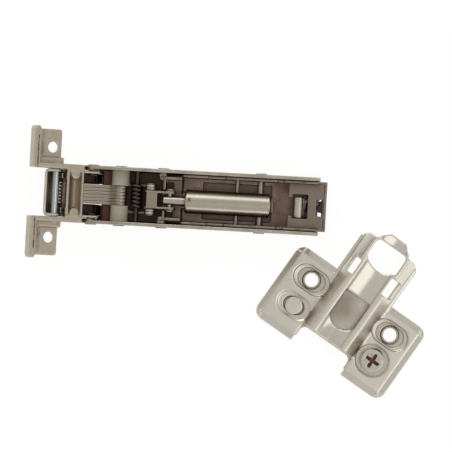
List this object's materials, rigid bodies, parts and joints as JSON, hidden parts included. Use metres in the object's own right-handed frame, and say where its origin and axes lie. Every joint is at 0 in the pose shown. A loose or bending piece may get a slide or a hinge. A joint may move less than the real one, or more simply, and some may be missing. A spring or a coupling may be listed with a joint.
{
  "type": "hydraulic cabinet hinge",
  "caption": "Clip-on cabinet hinge arm with a soft-close damper and a cast door bracket swung open, lying on its back beside its cross-shaped mounting plate.",
  "frame": {"origin": "on the arm's back face, under the inner link's pivot, midway between the arm's side walls", "axes": "+X along the arm towards its rear end, +Y across it towards the arm's left wall as seen from the front with the open side up, +Z out of the arm's open side; the mounting plate lies beside the arm on the same plane"},
  "size_m": [0.1347, 0.0848, 0.0162],
  "materials": {
    "cast_zinc": "nickel-plated casting, satin",
    "sheet": "nickel-plated sheet, satin",
    "link_sheet": "nickel-plated stamping, satin",
    "pin_steel": "polished",
    "rivet_steel": "nickel-plated, satin",
    "cylinder": "drawn tube, satin nickel",
    "spring_steel": "oiled spring wire",
    "bush_plastic": "off-white, slightly translucent",
    "spacer_brown": "browned",
    "seal_plastic": "dark",
    "inner_sheet": "nickel-plated sheet, dull",
    "latch_sheet": "nickel-plated sheet, dull and brownish",
    "cam_steel": "turned, nickel-plated"
  },
  "bodies": {
    "arm": {"arm_channel": "sheet", "arm_pivot_pin": "rivet_steel", "outer_link_rivets": "rivet_steel", "pivot_bush_left": "bush_plastic", "pivot_bush_right": "bush_plastic", "spring_pin": "spring_steel", "closing_spring": "spring_steel", "damper_frame": "inner_sheet", "frame_rivets": "rivet_steel", "guide_rivets": "rivet_steel", "damper_cylinder": "cylinder", "damper_gland": "seal_plastic", "plate_base": "sheet", "plate_sleeves": "rivet_steel", "plate_guide_rivet": "rivet_steel"},
    "inner_link": {"link_plate_1": "link_sheet", "link_plate_2": "link_sheet", "link_plate_3": "link_sheet", "link_plate_4": "link_sheet", "link_plate_5": "link_sheet", "link_plate_6": "link_sheet", "tail_pin": "rivet_steel"},
    "outer_link": {"outer_link": "sheet"},
    "door_bracket": {"door_bracket": "cast_zinc", "bracket_pin": "pin_steel", "link_pin": "spacer_brown", "link_spacers": "spacer_brown"},
    "damper_drive": {"damper_rod": "cylinder", "damper_piston": "seal_plastic", "damper_clevis": "sheet", "clevis_pin": "rivet_steel", "clevis_washers": "rivet_steel", "rod_pin": "rivet_steel", "drive_links": "sheet"},
    "carrier": {"carrier_channel": "inner_sheet", "latch_housing": "latch_sheet", "thin_cross_pin": "rivet_steel", "thick_cross_pin": "rivet_steel", "latch_pin": "rivet_steel", "latch_spring": "spring_steel"},
    "latch": {"latch_lever": "sheet"},
    "depth_cam": {"depth_cam_screw": "cam_steel"},
    "side_screw": {"side_screw": "cam_steel"},
    "plate_top": {"plate_top": "sheet"},
    "plate_cam": {"plate_cam_screw": "cam_steel"}
  },
  "joints": [
    {"name": "inner_link_swing", "type": "hinge", "parent": "arm", "child": "inner_link", "pos_m": [0, 0, 0.008], "axis": [0, -1, 0], "range_deg": [0, 23.75]},
    {"name": "outer_link_swing", "type": "hinge", "parent": "arm", "child": "outer_link", "pos_m": [-0.0094, 0, 0.0057], "axis": [0, -1, 0], "range_deg": [0, 68.46]},
    {"name": "bracket_fold", "type": "hinge", "parent": "inner_link", "child": "door_bracket", "pos_m": [-0.0184, 0, 0.0074], "axis": [0, -1, 0], "range_deg": [0, 86.26]},
    {"name": "damper_stroke", "type": "slide", "parent": "arm", "child": "damper_drive", "axis": [1, 0, 0], "range_m": [0, 0.0019]},
    {"name": "depth_slide", "type": "slide", "parent": "arm", "child": "carrier", "axis": [1, 0, 0], "range_m": [-0.00138, 0.00138]},
    {"name": "depth_cam_turn", "type": "hinge", "parent": "arm", "child": "depth_cam", "pos_m": [0.062, 0, 0.0007], "axis": [0, 0, 1], "range_deg": [-60, 60]},
    {"name": "latch_tilt", "type": "hinge", "parent": "carrier", "child": "latch", "pos_m": [0.0634, 0, 0.005], "axis": [0, 1, 0], "range_deg": [0, 10], "stiffness_Nm_per_rad": 0.02, "springref_deg": -11.46},
    {"name": "side_screw_turn", "type": "hinge", "parent": "arm", "child": "side_screw", "pos_m": [0.024, 0, 0.0007], "axis": [0, 0, 1], "continuous": true},
    {"name": "plate_height", "type": "slide", "parent": "arm", "child": "plate_top", "axis": [0.848, -0.5299, 0], "range_m": [-0.0013, 0.0013]},
    {"name": "plate_cam_turn", "type": "hinge", "parent": "arm", "child": "plate_cam", "pos_m": [0.08706, -0.0503, 0.0015], "axis": [0, 0, 1], "range_deg": [-60, 60]}
  ],
  "couplings": [
    {"joint": "inner_link_swing", "follows": "bracket_fold", "ratio": 0.27521},
    {"joint": "outer_link_swing", "follows": "bracket_fold", "ratio": 0.79341},
    {"joint": "damper_stroke", "follows": "bracket_fold", "m_per_rad": 0.0012554},
    {"joint": "depth_cam_turn", "follows": "depth_slide", "rad_per_m": -750},
    {"joint": "plate_cam_turn", "follows": "plate_height", "rad_per_m": -800}
  ]
}
